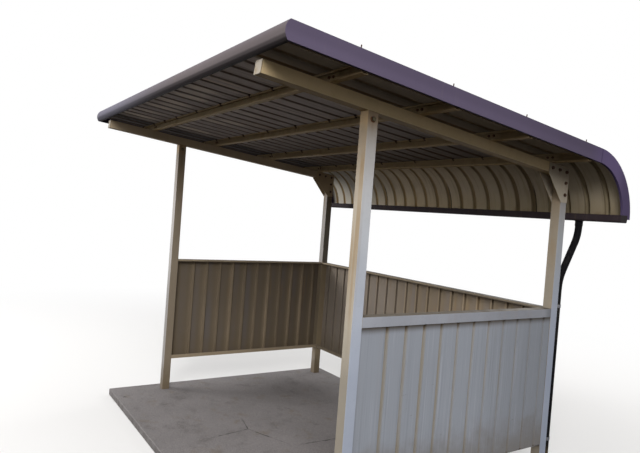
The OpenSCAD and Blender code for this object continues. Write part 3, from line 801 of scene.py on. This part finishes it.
def bolt_metal(name, rust, dark=False, bare=0.85, metallic=0.85, chromate=0):
    """Zinc that has gone dull, with rust in patches; dark metal has old brown rust all over.

    rust is how much of it has rusted, bare the zinc's brightness and chromate its share of olive colour.
    """
    look = Look(name, shine=0.3)
    step, noise = look.step, look.noise
    zinc = Layers(look, scaled(srgb(120, 116, 110), bare), scaled(srgb(162, 158, 150), bare), noise(180, 3))
    if chromate:
        zinc.tint(srgb(86, 78, 52), chromate)
    rusty = step(noise(90, 5, 0.65), 0.7 - rust * 0.45, 0.8 - rust * 0.45)
    low, high = (srgb(42, 30, 24), srgb(84, 60, 44)) if dark else (srgb(74, 44, 28), srgb(122, 78, 48))
    look.colour(look.mix(zinc, look.mix(low, high, noise(260, 4)), rusty))
    look.join(step(rusty, 0, 1, metallic, 0.05), look.shader.inputs["Metallic"])
    look.roughness(rusty, 0.42, 0.88)
    look.bump(noise(700, 3), 0.00012, 0.7)
    return look.material


def rubber(name):
    look = Look(name)
    look.colour(look.mix(srgb(34, 33, 33), srgb(62, 58, 54), look.noise(120, 4)))
    look.roughness(look.step(look.noise(60, 3), 0.3, 0.7, 0.65, 0.9))
    look.bump(look.noise(500, 2), 0.0001, 0.6)
    return look.material


# Bolts with rust round them: place, radius of the ring and strength
post_rust = [(POST_BOLT, 0.0165, 0.75)]
gusset_rust = [((POST_OUT + GUSSET_T, y, z), 0.011, 0.5) for y, z in gusset_bolt_places()]
# Places of the first groove in the end walls and in the rear wall
end_groove = REAR_Y - POST_W - (END_GROOVES - 0.5) * GROOVE_PITCH
back_groove = POST_W - POST_OUT + GROOVE_PITCH / 2
# In the cream paints, the posts', beams' and rails' outer end faces carry painted light and the posts' inner
# faces painted shade; aged, nook and under set painted shade, and far painted light
materials = {
    "post": cream_paint(
        "post_paint", CREAM, CREAM_SKYLIT_END, CREAM_SHADED_INNER, 0.6, 0.03, post_rust, back_shade=0.34, back_inner_shade=0.34, far=0.6
    ),
    "beam": cream_paint("beam_paint", BEAM, BEAM_LIT_END, srgb(188, 172, 150), 0.4, 0.25, back_shade=0.12, under=0.54),
    "gusset": cream_paint(
        "gusset_paint", BEAM, srgb(182, 175, 162), srgb(182, 162, 134), 0.3, 0.12, gusset_rust, back_shade=0.05
    ),
    # The purlins' front colour is brightened as painted light
    "purlin": cream_paint("purlin_paint", srgb(242, 218, 174), BEAM, BEAM, 0.4, 0.3, back_shade=0.06, under=0.54),
    "rail": cream_paint("rail_paint", RAIL, srgb(160, 162, 170), RAIL, 0.3, 0.15),
    "wall_side": wall_sheet("wall_sheet_ends", False, end_groove, END_GROOVES, 0.6),
    "wall_rear": wall_sheet("wall_sheet_back", True, back_groove, BACK_GROOVES, 0.82),
    "roof": roof_sheet("deck_sheet"),
    "curve": curve_sheet("bent_sheet"),
    "front_trim": trim_paint("front_trim_paint", srgb(103, 95, 96), srgb(111, 104, 110), 0.14),
    # The gables' purple is partly paint and partly painted sky tint
    "gable_trim": trim_paint("gable_trim_paint", srgb(92, 83, 103), srgb(99, 90, 107), 0.05, back=0.88),
    "gutter": gutter_paint("gutter_paint"),
    "pipe": black_plastic("drain_plastic"),
    "cap": cap_plastic("cap_plastic"),
    "slab": concrete("slab_concrete"),
    "zinc": bolt_metal("zinc_bolts", 0.3),
    "rusty": bolt_metal("rusty_bolts", 0.85),
    "worn": bolt_metal("worn_bolts", 0.35, bare=0.3, metallic=0.2, chromate=0.8),
    "brown": bolt_metal("brown_bolts", 1, True),
    "rubber": rubber("washer_rubber"),
}

# For each kind of CAD node, by the start of its name: its finish and the radius of its rounded edges
kinds = {
    "base_slab": ("slab", 0.006), "post_": ("post", 0.0035),
    "rafter_cap": ("cap", 0.0012), "rafter_": ("beam", 0.0035), "gusset_": ("gusset", 0.0007),
    "purlin_clips": ("purlin", 0.0006), "purlin_": ("purlin", 0.0009),
    "roof_sheet": ("roof", 0), "rear_curve": ("curve", 0),
    "front_trim": ("front_trim", 0.0006), "gable_": ("gable_trim", 0),
    "gutter": ("gutter", 0), "gutter_outlet": ("pipe", 0), "drain_pipe": ("pipe", 0),
    "pipe_clips": ("rail", 0.0005), "wall_rail": ("rail", 0.0012), "foot_rail": ("rail", 0.0009),
    "wall_panel": ("wall_side", 0), "wall_panel_rear": ("wall_rear", 0),
}
WELD_DISTANCE = 0.00002
LARGE_ROUNDING = 0.003
SHARP_ANGLE = math.radians(40)


def round_edges(node, radius):
    """Rounds the node's sharp edges."""
    weld = node.modifiers.new("weld", "WELD")
    weld.merge_threshold = WELD_DISTANCE
    bevel = node.modifiers.new("edges", "BEVEL")
    bevel.width = radius
    bevel.segments = 3 if radius > LARGE_ROUNDING else 2
    bevel.limit_method = "ANGLE"
    bevel.angle_limit = SHARP_ANGLE
    bevel.harden_normals = True


for name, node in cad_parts.items():
    kind = max((start for start in kinds if name.startswith(start)), key=len)
    finish, radius = kinds[kind]
    for slot in node.material_slots:
        slot.material = materials[finish]
    if radius:
        round_edges(node, radius)


# Fixings

class Piece:
    """A mesh under construction, in metres in the CAD frame."""

    def __init__(self, name, *finish):
        self.name = name
        self.bm = bmesh.new()
        self.finish = finish
        self.index = 0

    def rings(self, place, rings):
        """Skins rings of points, each a list of (x, y, z) in the place's own frame, and closes both ends."""
        made = [[self.bm.verts.new(place @ Vector(p)) for p in ring] for ring in rings]
        count = len(made[0])
        faces = []
        for a, b in zip(made, made[1:]):
            for i in range(count):
                j = (i + 1) % count
                faces.append(self.bm.faces.new((a[i], a[j], b[j], b[i])))
        faces.append(self.bm.faces.new(list(reversed(made[0]))))
        faces.append(self.bm.faces.new(made[-1]))
        for face in faces:
            face.material_index = self.index
            face.smooth = len(face.verts) == 4

    def turned(self, place, profile, sides, flats=None):
        """Turns (radius, height) pairs round Z. flats has 1 for each pair on a hexagon, 0 on a circle."""
        rings = []
        for k, (radius, height) in enumerate(profile):
            hexed = flats[k] if flats else 0
            ring = []
            for i in range(sides):
                angle = 2 * math.pi * i / sides
                fold = (angle + math.pi / 6) % (math.pi / 3) - math.pi / 6
                r = radius * ((1 - hexed) + hexed / math.cos(fold))
                ring.append((r * math.cos(angle), r * math.sin(angle), height))
            rings.append(ring)
        self.rings(place, rings)

    def done(self):
        """Puts the finished mesh in the scene, on the shelter's one body."""
        mesh = bpy.data.meshes.new(self.name)
        bmesh.ops.recalc_face_normals(self.bm, faces=self.bm.faces)
        self.bm.to_mesh(mesh)
        self.bm.free()
        piece = bpy.data.objects.new(self.name, mesh)
        bpy.context.scene.collection.objects.link(piece)
        for key in self.finish:
            mesh.materials.append(materials[key])
        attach(piece, "root")


# How deep a piece starts in the surface or the washer that it sits on
SUNK = 0.0002

# A bolt's head, nut and end. Head and nut: washer radius and thickness, hexagon across flats and height.
# End: diameter, length and where it starts
GUSSET_BOLT = (0.0105, 0.0016, 0.017, 0.0085), (0.0105, 0.0016, 0.017, 0.008), (0.01, 0.006, 0.009)
FRONT_BOLT = (0.0145, 0.0022, 0.0185, 0.0095), (0.012, 0.002, 0.018, 0.008), (0.01, 0.006, 0.0095)
CLIP_BOLT = (0.0072, 0.0014, 0.012, 0.0055), (0.0072, 0.0014, 0.012, 0.0055), (0.008, 0.005, 0.007)
CLIP_BOLT_APART = 0.033
CLIP_BOLT_V = RAFTER_H + 0.033
CLIP_T = 0.003

# Ribs that have a trim screw, and how far down the slope it is from the nose's end
TRIM_SCREW_RIBS = range(1, 23, 2)
TRIM_SCREW_U = NOSE_END_U + 0.052
# The strap of a pipe clip, and its screws: half their spacing and their height over its lower edge
STRAP_T = 0.003
CLIP_SCREW_OUT, CLIP_SCREW_UP = 0.01, 0.01

# Hexagons: width across flats, height and where they start
STOP_NUT = (0.013, 0.006, 0.0008)
CAP_HEAD = (0.01, 0.005, 0.0026)
SCREW_HEAD = (0.008, 0.0029, 0.0015)

# Profiles as pairs of radius and height
STOP_WASHER = [(0.0072, 0), (0.0074, 0.0006), (0.0068, 0.0012)]
CAP_WASHER = [(0.011, -0.0004), (0.0118, 0.0006), (0.0105, 0.002), (0.004, 0.003)]
SCREW_DOME = [(0.004, -SUNK), (0.0042, 0.0006), (0.0034, 0.002), (0.0016, 0.0028)]

# Ribs that have a hook bolt, counted from the near end; one purlin has a bolt more
HOOK_RIBS = (5, 7, 10, 13, 16, 18, 20)
EXTRA_HOOK = {3: (6,)}
HOOK_ROD_R = 0.003
HOOK_BEND = 0.0052
HOOK_TURNS = 6
HOOK_FROM_PURLIN = 0.0042
HOOK_LOW = PAN_UNDER - 0.0095
# Thread that shows over a hook bolt's head, on the ribs and on the higher gable trims
RIB_STAND, TRIM_STAND = 0.006, 0.022


def standing(point, direction):
    """A frame at the point whose Z runs along the direction, turned about it by chance."""
    spin = random.uniform(0, math.pi / 3)
    turn = Vector(direction).to_track_quat("Z", "Y").to_matrix().to_4x4()
    return Matrix.Translation(Vector(point)) @ turn @ Matrix.Rotation(spin, 4, "Z")


def washer(piece, place, radius, thick):
    edge = thick * 0.35
    profile = [(radius - edge, -SUNK), (radius, edge), (radius, thick - edge), (radius - edge, thick)]
    piece.turned(place, profile, 28)


def hex_head(piece, place, across, height, start):
    """A hexagon with chamfered corners and a shallow domed top."""
    r = across / 2
    shoulder = (r * 0.985, start + height * 0.92)
    profile = [(r, start), (r, start + height * 0.8), shoulder, (r * 0.86, start + height)]
    piece.turned(place, profile, 36, [1, 1, 0.35, 0])


def bolt_end(piece, place, diameter, length, start):
    """The threaded end of a bolt, with a pointed chamfer."""
    r = diameter / 2
    chamfer = start + length - diameter * 0.12
    pitch = diameter * 0.22
    rings = [(r, start)]
    z = start
    while z + pitch < chamfer:
        rings += [(r, z + pitch * 0.3), (r * 0.86, z + pitch * 0.62)]
        z += pitch
    rings += [(r * 0.95, chamfer), (r * 0.72, start + length)]
    piece.turned(place, rings, 14)


def through_bolt(piece, head_at, nut_at, direction, head, nut, end, washer_finish=0):
    """A bolt right through: its head looks along the direction, its nut and end the other way."""
    outer, inner = standing(head_at, direction), standing(nut_at, -direction)
    for place, (radius, thick, across, height), finish in ((outer, head, washer_finish), (inner, nut, 0)):
        piece.index = finish
        washer(piece, place, radius, thick)
        piece.index = 0
        hex_head(piece, place, across, height, thick - SUNK)
    bolt_end(piece, inner, *end)


def gusset_bolts(side, word):
    """Five bolts through each pair of gusset plates."""
    bolts = Piece(f"gusset_bolts_{word}", "brown")
    outer, inner = side * (POST_OUT + GUSSET_T), side * (POST_OUT - POST_W - GUSSET_T)
    for y, z in gusset_bolt_places():
        through_bolt(bolts, (outer, y, z), (inner, y, z), Vector((side, 0, 0)), *GUSSET_BOLT)
    bolts.done()


def post_bolt(side, word):
    """One bolt through the top of the front post, with a rusty washer outside."""
    bolts = Piece(f"post_bolt_{word}", "worn", "rusty")
    x, y, z = POST_BOLT
    outer, inner = (side * x, y, z), (side * (x - POST_W), y, z)
    through_bolt(bolts, outer, inner, Vector((side, 0, 0)), *FRONT_BOLT, 1)
    bolts.done()


def clip_bolts(side, word):
    """Two bolts hold each purlin to its clip."""
    bolts = Piece(f"clip_bolts_{word}", "rusty")
    for row in range(PURLINS):
        back = PURLIN_FIRST + row * PURLIN_STEP + PURLIN_W
        for across in (-CLIP_BOLT_APART / 2, CLIP_BOLT_APART / 2):
            x = side * (POST_OUT - POST_W / 2) + across
            head_at, nut_at = (on_slope(x, u, CLIP_BOLT_V) for u in (back - PURLIN_T, back + CLIP_T))
            through_bolt(bolts, head_at, nut_at, -DOWN_SLOPE, *CLIP_BOLT)
    bolts.done()


def rod_along(piece, points, radius, sides=10):
    """A round rod along a smooth line of points."""
    angles = [2 * math.pi * k / sides for k in range(sides)]
    rings = []
    normal = None
    for i, p in enumerate(points):
        ahead = (points[min(i + 1, len(points) - 1)] - points[max(i - 1, 0)]).normalized()
        if normal is None:
            normal = Vector((1, 0, 0)) - ahead * ahead.x
        normal = (normal - ahead * normal.dot(ahead)).normalized()
        other = ahead.cross(normal)
        rings.append([p + normal * (radius * math.cos(a)) + other * (radius * math.sin(a)) for a in angles])
    piece.rings(Matrix.Identity(4), rings)


def hook_bolt(piece, x, u, top, stand):
    """A hooked rod from the top of the roof, down in front of a purlin and up again behind its lip.

    top is the height of the roof there and stand the length of thread that shows above the head.
    """
    front = u - HOOK_FROM_PURLIN
    points = [on_slope(x, front, top + 0.001)]
    points += [on_slope(x, front, v) for v in (PAN_UNDER + 0.01, PAN_UNDER, PAN_UNDER - 0.006)]
    for k in range(HOOK_TURNS + 1):
        a = math.pi * k / HOOK_TURNS
        sideways, down = HOOK_BEND * (1 - math.cos(a)), HOOK_BEND * 0.6 * math.sin(a)
        points.append(on_slope(x, front + sideways, HOOK_LOW - down))
    points.append(on_slope(x, front + 2 * HOOK_BEND, PAN_UNDER - 0.005))
    rod_along(piece, points, HOOK_ROD_R)
    # A stop nut and washer under the sheet, and a capped head on the roof
    under = standing(on_slope(x, front - 0.0028, PAN_UNDER + SUNK), -OFF_SLOPE)
    piece.turned(under, STOP_WASHER, 20)
    hex_head(piece, under, *STOP_NUT)
    head = standing(on_slope(x, front, top), OFF_SLOPE)
    piece.index = 1
    piece.turned(head, CAP_WASHER, 24)
    piece.index = 0
    hex_head(piece, head, *CAP_HEAD)
    bolt_end(piece, head, 0.006, stand, 0.007)


def hook_bolts(row):
    """The hook bolts of one purlin, counted from 1: through some ribs and through both gable trims."""
    u = PURLIN_FIRST + (row - 1) * PURLIN_STEP
    hooks = Piece(f"hook_bolts_{row}", "brown", "rubber")
    for i in HOOK_RIBS + EXTRA_HOOK.get(row, ()):
        hook_bolt(hooks, RIB_FIRST - i * RIB_PITCH, u, TRIM_TOP - TRIM_T, RIB_STAND)
    for side in (-1, 1):
        hook_bolt(hooks, side * (ROOF_END - 0.04), u, TRIM_TOP, TRIM_STAND)
    hooks.done()


def trim_screws():
    """Small screws with rubber washers, through the front trim into every second rib."""
    screws = Piece("trim_screws", "zinc", "rubber")
    for i in TRIM_SCREW_RIBS:
        place = standing(on_slope(RIB_FIRST - i * RIB_PITCH, TRIM_SCREW_U, TRIM_TOP), OFF_SLOPE)
        screws.index = 1
        washer(screws, place, 0.0062, 0.001)
        screws.index = 0
        washer(screws, place @ Matrix.Translation((0, 0, 0.0009)), 0.0056, 0.0007)
        hex_head(screws, place, *SCREW_HEAD)
    screws.done()


def clip_screws():
    screws = Piece("clip_screws", "rusty")
    for z in (WALL_FOOT, WALL_TOP):
        for across in (-CLIP_SCREW_OUT, CLIP_SCREW_OUT):
            place = standing((PIPE_X + across, REAR_Y + STRAP_T, z + CLIP_SCREW_UP), (0, 1, 0))
            screws.turned(place, SCREW_DOME, 20)
    screws.done()


for side, word in ((-1, "left"), (1, "right")):
    gusset_bolts(side, word)
    post_bolt(side, word)
    clip_bolts(side, word)
for row in range(1, PURLINS + 1):
    hook_bolts(row)
trim_screws()
clip_screws()


# Studio

FLOOR_HALF = 60
# The floor lies a little under the slab, so that the two faces don't coincide
FLOOR_Z = -0.0005
# From the first distance to the second, the floor that the camera sees turns white
WHITE_FROM, WHITE_TO = 2.4, 7.5
PLAIN_WHITE = (1, 1, 1, 1)


def stage_floor():
    """A pale floor that turns white far away; light that bounces to the shelter meets a duller one."""
    a = FLOOR_HALF
    mesh = bpy.data.meshes.new("studio_floor")
    mesh.from_pydata([(-a, -a, 0), (a, -a, 0), (a, a, 0), (-a, a, 0)], [], [(0, 1, 2, 3)])
    floor = bpy.data.objects.new("studio_floor", mesh)
    floor.location.z = FLOOR_Z
    bpy.context.scene.collection.objects.link(floor)
    look = Look("studio_floor")
    look.roughness(0.9)
    look.colour((0.8, 0.79, 0.78, 1))
    white = look.add("ShaderNodeEmission")
    white.inputs["Strength"].default_value = 1
    dull = look.add("ShaderNodeBsdfDiffuse")
    dull.inputs["Color"].default_value = (0.04, 0.038, 0.035, 1)
    far = look.step(look.distance((0, 0, 0), False), WHITE_FROM, WHITE_TO)
    seen = look.blend(far, look.shader.outputs[0], white.outputs[0])
    direct = look.most(*look.rays("Camera", "Glossy", "Transmission"))
    look.join(look.blend(direct, dull.outputs[0], seen), look.output.inputs["Surface"])
    mesh.materials.append(look.material)


def studio_world(low, high, front, right):
    """Soft light, from low at the horizon to high above; plain white where the camera looks.

    front and right are added toward the open front and toward the near end.
    """
    world = bpy.data.worlds.new("studio")
    world.use_nodes = True
    nodes = Nodes(world.node_tree)
    toward = nodes.split(nodes.add("ShaderNodeTexCoord").outputs["Generated"])
    strength = nodes.ramp(toward["Z"], 0, 0.9, low, high)
    strength = nodes.plus(strength, nodes.ramp(toward["Y"], -0.1, -1, 0, front))
    strength = nodes.plus(strength, nodes.ramp(toward["X"], 0.3, 1, 0, right))
    light, white = nodes.add("ShaderNodeBackground"), nodes.add("ShaderNodeBackground")
    nodes.join(strength, light.inputs["Strength"])
    nodes.join(1, white.inputs["Strength"])
    for background in (light, white):
        nodes.join(PLAIN_WHITE, background.inputs["Color"])
    camera_ray, glossy_ray, clear_ray = nodes.rays("Camera", "Glossy", "Transmission")
    seen = nodes.most(camera_ray, nodes.most(glossy_ray, clear_ray))
    output = nodes.add("ShaderNodeOutputWorld")
    nodes.join(nodes.blend(seen, light.outputs[0], white.outputs[0]), output.inputs["Surface"])
    bpy.context.scene.world = world


def softbox(name, at, towards, size, power):
    lamp = bpy.data.lights.new(name, "AREA")
    lamp.shape = "SQUARE"
    lamp.size = size
    lamp.energy = power
    holder = bpy.data.objects.new(name, lamp)
    holder.location = at
    holder.rotation_euler = (Vector(towards) - Vector(at)).to_track_quat("-Z", "Y").to_euler()
    bpy.context.scene.collection.objects.link(holder)


stage_floor()
studio_world(0.18, 0.55, 0.76, 0.2)
softbox("key", (6.5, -4.5, 6), (0.3, 0, 1), 4, 620)
softbox("fill", (-5.8, -6.8, 4.3), (0, 0, 1), 3.2, 420)
softbox("back", (-2, 7, 5), (0, 0, 1.2), 4, 180)


# Camera, fitted to the photograph

CAMERA_AT = (3.3266, -2.1938, 1.5871)
CAMERA_YAW, CAMERA_PITCH, CAMERA_ROLL = 56.4446, -1.1416, 4.3773
FOCAL_PIXELS = 565.71
PHOTO_WIDTH = 640
SENSOR_WIDTH = 36


def photo_camera():
    """The photograph's camera; its yaw, pitch and roll are in degrees."""
    yaw, pitch, roll = (math.radians(a) for a in (CAMERA_YAW, CAMERA_PITCH, CAMERA_ROLL))
    ahead = Vector((-math.sin(yaw) * math.cos(pitch), math.cos(yaw) * math.cos(pitch), math.sin(pitch)))
    level = Vector((math.cos(yaw), math.sin(yaw), 0))
    upward = level.cross(ahead)
    right = level * math.cos(roll) + upward * math.sin(roll)
    up = upward * math.cos(roll) - level * math.sin(roll)
    data = bpy.data.cameras.new("photo_view")
    data.sensor_width = SENSOR_WIDTH
    data.sensor_fit = "HORIZONTAL"
    data.lens = FOCAL_PIXELS * SENSOR_WIDTH / PHOTO_WIDTH
    data.clip_start, data.clip_end = 0.05, 200
    holder = bpy.data.objects.new("photo_view", data)
    turn = Matrix((right, up, -ahead)).transposed().to_4x4()
    holder.matrix_world = Matrix.Translation(CAMERA_AT) @ turn
    bpy.context.scene.collection.objects.link(holder)
    bpy.context.scene.camera = holder


photo_camera()
bpy.context.scene.view_settings.view_transform = "Standard"
